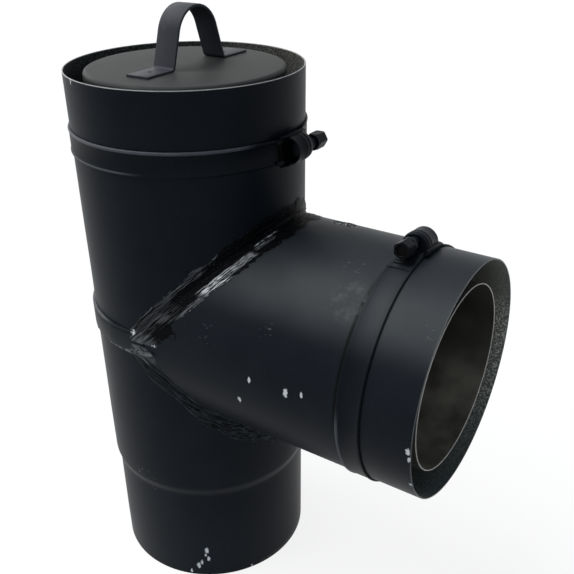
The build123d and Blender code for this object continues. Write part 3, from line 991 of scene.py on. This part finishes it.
# Painted highlight along the branch band's edge nearer the run, below the branch's axis.
back_bead = (branch_level - across).within(4.9, 6.5, 0.25) * rise.step(8, -8)
paint = (back_bead * 0.7).blend(paint, back_edge_highlight_grey)
for joint_name, outward_axes in (("upper_worm_turn", (1, 1, 0)), ("branch_worm_turn", (0, 0, 1))):
    pivot = Vector(joints[joint_name]["pos_m"]) * METRE
    headwards = Vector(joints[joint_name]["axis"]).normalized()
    outwards = (pivot * Vector(outward_axes)).normalized()
    hex_face = pivot + headwards * (hex_end - 0.4)
    paint = spot.near(hex_face, face_shade_radius).blend(paint, clamp_shade)
    housing_mouth = pivot - headwards * mouth_back - outwards * mouth_drop
    paint = (spot.near(housing_mouth, mouth_shade_radius) * 0.9).blend(paint, clamp_shade)
paint.feed(clamp_shader, "Base Color")
press(spot.grain(0.6, 3.0), clamp_shader, 0.03)


def touch(flat, round_radius, end):
    """Angle at which a straight stretch of a strip, going on from its end, comes down onto the round."""
    return atan2(end, flat) + acos(round_radius / hypot(flat, end))


def hoop_line(lift, height):
    """The hoop's line at a height above its inside: straight under the saddle, else round."""
    flat = run_radius + lift + height
    round_radius = run_radius + hoop_clearance + height
    first = touch(flat, round_radius, saddle_end)
    last = 2 * pi - touch(flat, round_radius, -saddle_start)
    line = [(flat, along) for along in spread(saddle_start, saddle_end, 5)]
    line += [(round_radius * cos(turn), round_radius * sin(turn)) for turn in spread(first, last, 180)]
    return line


def tail_line(lift, height):
    """The tail's line: up from the band, over the saddle's floor and down onto the band again."""
    flat = run_radius + lift + height
    low = flat - tail_drop
    round_radius = run_radius + hoop_clearance + height - tail_drop
    turn = touch(low, round_radius, saddle_end)
    landing = Vector((round_radius * cos(turn), round_radius * sin(turn)))
    line = [(low - 0.3, saddle_start - tail_root - 0.6), (flat, saddle_start - 0.2)]
    line += [(flat, along) for along in (0, saddle_end)]
    line += [tuple(Vector((low, saddle_end)).lerp(landing, share)) for share in (0.15, 0.6)]
    for angle in spread(turn, asin(free_tail_end / round_radius), 6):
        line.append((round_radius * cos(angle), round_radius * sin(angle)))
    return line


def along_tail(lift, height, stations):
    """The tail's line at some stations only."""
    line = tail_line(lift, height)
    found = []
    for along in stations:
        for (low_out, low), (high_out, high) in zip(line, line[1:]):
            if low <= along <= high:
                found.append((low_out + (high_out - low_out) * (along - low) / (high - low), along))
                break
    return found


def strip_rows(line_at, section, place):
    """Sweeps a section, as pairs of height and offset across the band, along a line."""
    lines = {height: line_at(height) for height, wide in section}
    count = len(line_at(0))
    return [[place(*lines[height][index], wide) for height, wide in section] for index in range(count)]


def beaded_section(low, high, half, bead):
    """Section of a strip whose edges are rolled up into small beads."""
    side = [(low, half), (high, half + 0.15), (high + bead * 0.7, half - 0.1), (high + bead, half - 0.45)]
    side += [(high + bead * 0.9, half - 0.9), (high + bead * 0.45, half - 1.3), (high, half - 1.7)]
    return [(height, -wide) for height, wide in side] + side[::-1]


def arch_line(base, middle, half_width):
    """Upright feet and half-round top of a housing's section, from one foot to the other."""
    turns = spread(pi / 2, -pi / 2, 29)
    top = [(middle + half_width * cos(turn), half_width * sin(turn)) for turn in turns]
    return [(base, half_width), *top, (base, -half_width)]


def housing_shells(base, shoulder, middle, worm_axis, place):
    """The pressed housing: a half-round barrel with two ridges, and the wall that the neck passes."""
    inner = arch_line(base, middle, channel_half)
    count = len(inner)
    rows = []
    for along, swell in (
        (-housing_end, -0.25),
        (-housing_end + 0.25, 0.0),
        (0.6, 0.0),
        (1.0, 0.2),
        (1.6, 0.2),
        (2.0, 0.0),
        (3.0, 0.0),
        (3.4, 0.25),
        (4.2, 0.25),
        (4.6, 0.0),
        (housing_end - 0.5, 0.0),
        (housing_end, -0.35),
    ):
        loop = arch_line(base, middle, housing_half + swell) + inner[::-1]
        rows.append([place(out, along, wide) for out, wide in loop])
    points, faces = shell(rows, False, True)
    for first in (0, (len(rows) - 1) * 2 * count):
        for j in range(count - 1):
            last = first + 2 * count - 1 - j
            faces.append((first + j, first + j + 1, last - 1, last))
    gate_half = channel_half + 0.1
    gate = arch_line(shoulder, middle, gate_half)
    gate += [(shoulder, wide) for wide in spread(-gate_half, gate_half, 21)[1:-1]]
    hole_radius = neck_radius + neck_clearance
    hole = []
    for out, wide in gate:
        turn = atan2(wide, out - worm_axis)
        hole.append((worm_axis + hole_radius * cos(turn), hole_radius * sin(turn)))
    near = housing_end - end_wall
    far = housing_end - 0.15
    loops = ((gate, near), (gate, far), (hole, far), (hole, near))
    wall = [[place(out, along, wide) for out, wide in loop] for loop, along in loops]
    return [(points, faces), shell(wall)]


def screw_shells(worm_axis, place):
    """The worm with its thread, the neck, the collar and the dished hexagon of one screw."""
    turns = 72

    def turned(radius, angle, along):
        return place(worm_axis + radius * cos(angle), along, radius * sin(angle))

    shaft = []
    for turn in range(turns):
        angle = 2 * pi * turn / turns
        row = [(0.0, worm_start), (worm_radius - thread_depth - 0.6, worm_start)]
        for along in spread(worm_start + 0.3, worm_end - 0.2, 64):
            phase = ((along - worm_start) / thread_pitch - turn / turns) % 1
            groove = min(1, max(0, 2.2 - abs(phase - 0.5) * 6))
            row.append((worm_radius - thread_depth * groove, along))
        row += [(worm_radius - 0.3, worm_end), (neck_radius, worm_end), (neck_radius, collar_start)]
        row += [(collar_radius - 0.2, collar_start), (collar_radius, collar_start + 0.2)]
        row += [(collar_radius, collar_end - 0.2), (collar_radius - 0.2, collar_end), (0.0, collar_end)]
        shaft.append([turned(radius, angle, along) for radius, along in row])
    full_corners = 2 * hex_radius
    rings = []
    for along, limit in (
        (collar_end - 0.1, 0.0),
        (collar_end - 0.1, full_corners),
        (hex_end - hex_chamfer, full_corners),
        (hex_end - 0.45 * hex_chamfer, hex_radius * 1.09),
        (hex_end, hex_radius * 0.96),
        (hex_end, dish_radius + 0.2),
        (hex_end - 0.2, dish_radius),
        (hex_end - dish_depth, dish_radius - 0.3),
        (hex_end - dish_depth, 0.0),
    ):
        ring = []
        for angle in whole_turn(turns):
            radius = min(hex_radius / cos(angle % (pi / 3) - pi / 6), limit)
            ring.append(turned(radius, angle, along))
        rings.append(ring)
    return [shell(shaft, True, False), shell(rings, False, True)]


saddle_stations = ((saddle_start, 0.2), (-housing_end - 1.0, 0.85), (-housing_end, 1.0), (saddle_end, 1.0))
for name, body, joint_name in (
    ("upper_clamp", "upper_worm", "upper_worm_turn"),
    ("branch_clamp", "branch_worm", "branch_worm_turn"),
):
    pivot = Vector(joints[joint_name]["pos_m"]) * METRE
    origin = Vector((0, 0, pivot.z)) if body == "upper_worm" else Vector((pivot.x, 0, branch_height))
    outwards = (pivot - origin).normalized()
    headwards = Vector(joints[joint_name]["axis"]).normalized()
    pipewards = outwards.cross(headwards)
    worm_axis = (pivot - origin).length
    lift = worm_axis - worm_middle - run_radius
    stack = run_radius + lift

    def seat(out, along, wide):
        return origin + outwards * out + headwards * along + pipewards * wide

    half = hoop_width / 2
    hoop_section = beaded_section(0.0, hoop_thickness, half, hoop_bead)
    strips = [shell(strip_rows(lambda height: hoop_line(lift, height), hoop_section, seat))]
    for low, high in ((-half, -slot_half), (slot_half, half)):
        rail = strip_section(tail_low, tail_high, low, high, 0.18)
        rows = strip_rows(lambda height: tail_line(lift, height), rail, seat)
        strips.append(shell(rows, False, True, True))
    web = strip_section(tail_low, tail_high, -slot_half - 0.3, slot_half + 0.3, 0.12)
    webs = [(saddle_start, 0.0), (0.0, saddle_end), (free_tail_end - 2.6, free_tail_end - 0.4)]
    for along in spread(saddle_end + slot_gap, free_tail_end - 4.9, 5):
        webs.append((along, along + slot_web))
    for ends in webs:
        rows = strip_rows(lambda height: along_tail(lift, height, ends), web, seat)
        strips.append(shell(rows, False, True, True))
    dress(solid(name + "_strip", strips), clamp_paint, "clamp_paint", "tee", name + "_band")

    under = stack + saddle_low
    floor = stack + saddle_high
    channel = []
    for along, share in saddle_stations:
        ear_top = floor + saddle_height * share
        ear = rounded(
            [
                (under, 0),
                (under, ear_outer),
                (ear_top, ear_outer - 0.15),
                (ear_top, ear_inner - 0.1),
                (floor, ear_inner),
                (floor, 0),
            ],
            [0.4, 0.15, 0.15, 0.1],
            4,
        )
        outline = [(point.x, point.y) for point in ear] + [(point.x, -point.y) for point in ear[::-1]]
        channel.append([seat(out, along, wide) for out, wide in outline])
    saddle = solid(name + "_channel", [shell(channel, False, True, True)])
    dress(saddle, clamp_paint, "clamp_paint", "tee", name + "_saddle")

    arch_middle = worm_axis + barrel_radius - housing_half
    housing = housing_shells(floor + ply_gap, stack + tail_high + ply_gap, arch_middle, worm_axis, seat)
    dress(solid(name + "_barrel", housing), clamp_paint, "clamp_paint", "tee", name + "_housing")
    screw = solid(name + "_worm", screw_shells(worm_axis, seat))
    dress(screw, clamp_paint, "clamp_paint", body, name + "_screw")

# Stage: a plain pale floor under the tee and white all round it, with one broad soft light overhead and
# four weaker ones, as in a product photograph. The camera stands where the photograph was taken.
floor_half = 12.0
floor_lit = (0.66, 0.70, 0.76, 1)
floor_dim = (0.05, 0.055, 0.06, 1)
floor_pale = (0.97, 0.97, 0.97, 1)
floor_glow = 0.86
lit_middle = (0.05, -0.06, 0)
lit_radius = 0.5
pure_white = (1, 1, 1, 1)
sky_blue = (0.45, 0.68, 1.0, 1)
sky_strength = 0.14
floor_corners = [(x * floor_half, y * floor_half, 0) for x, y in ((-1, -1), (1, -1), (1, 1), (-1, 1))]
floor_mesh = bpy.data.meshes.new("floor")
floor_mesh.from_pydata(floor_corners, [], [(0, 1, 2, 3)])
floor_sheet = bpy.data.objects.new("floor", floor_mesh)
bpy.context.collection.objects.link(floor_sheet)
floor_paper = bpy.data.materials.new("floor_paper")
floor_paper.use_nodes = True
paper_tree = floor_paper.node_tree


def seen_directly(tree):
    """1 for rays from the camera, a gloss or clear glass, which are to see white."""
    rays = ("Is Camera Ray", "Is Glossy Ray", "Is Transmission Ray")
    return reduce(or_, [Wire(tree).make("ShaderNodeLightPath", output=ray) for ray in rays])


seen = seen_directly(paper_tree)
under_foot = seen.make("ShaderNodeTexCoord", output="Object").near(lit_middle, lit_radius)
lit = seen.make("ShaderNodeBsdfDiffuse", {}, {"Color": floor_lit})
dim = seen.make("ShaderNodeBsdfDiffuse", {}, {"Color": floor_dim})
dim = seen.make("ShaderNodeMixShader", {}, {0: under_foot, 1: dim, 2: lit})
pale = seen.make("ShaderNodeBsdfDiffuse", {}, {"Color": floor_pale})
white = seen.make("ShaderNodeEmission", {}, {"Color": pure_white, "Strength": 1.0})
pale = seen.make("ShaderNodeMixShader", {}, {0: floor_glow, 1: pale, 2: white})
sheet = seen.make("ShaderNodeMixShader", {}, {0: seen, 1: dim, 2: pale})
sheet.feed(paper_tree.nodes["Material Output"], "Surface")
floor_mesh.materials.append(floor_paper)

world = bpy.data.worlds.new("white_room")
world.use_nodes = True
bpy.context.scene.world = world
sky_tree = world.node_tree
seen = seen_directly(sky_tree)
fill = seen.make("ShaderNodeBackground", {}, {"Color": sky_blue, "Strength": sky_strength})
white = seen.make("ShaderNodeBackground", {}, {"Color": pure_white, "Strength": 1.0})
sky = seen.make("ShaderNodeMixShader", {}, {0: seen, 1: fill, 2: white})
sky.feed(sky_tree.nodes["World Output"], "Surface")


def soft_sun(name, towards, level, breadth):
    """A broad soft light from one direction: level 1 lights a facing white sheet just to white."""
    lamp = bpy.data.lights.new(name, "SUN")
    lamp.energy = level * pi
    lamp.angle = radians(breadth)
    made = bpy.data.objects.new(name, lamp)
    made.rotation_euler = Vector(towards).to_track_quat("Z", "Y").to_euler()
    bpy.context.collection.objects.link(made)


soft_sun("overhead_light", (-0.43, -0.24, 0.87), 0.8, 40)
soft_sun("back_light", (-0.49, 0.25, 0.84), 0.25, 50)
soft_sun("front_light", (-0.45, -0.66, 0.60), 0.15, 50)
soft_sun("left_light", (-1.0, 0.2, 0.2), 0.28, 50)
soft_sun("right_light", (0.72, -0.68, 0.12), 0.12, 50)

camera_place = (0.2730, -0.31702, 0.39775)
camera_yaw = radians(-33.93)
camera_pitch = radians(-29.86)
camera_roll = radians(-0.64)
camera = bpy.data.cameras.new("camera")
camera.sensor_width = 36.0
camera.lens = 47.73
camera.shift_x = 0.0082
camera.shift_y = 0.0565
ahead = cos(camera_pitch)
forward = Vector((sin(camera_yaw) * ahead, cos(camera_yaw) * ahead, sin(camera_pitch)))
level = Vector((cos(camera_yaw), -sin(camera_yaw), 0))
upright = level.cross(forward)
right = cos(camera_roll) * level + sin(camera_roll) * upright
up = cos(camera_roll) * upright - sin(camera_roll) * level
holder = bpy.data.objects.new("camera", camera)
facing = Matrix((right, up, -forward)).transposed().to_4x4()
holder.matrix_world = Matrix.Translation(camera_place) @ facing
bpy.context.collection.objects.link(holder)
bpy.context.scene.camera = holder
bpy.context.scene.view_settings.view_transform = "Standard"
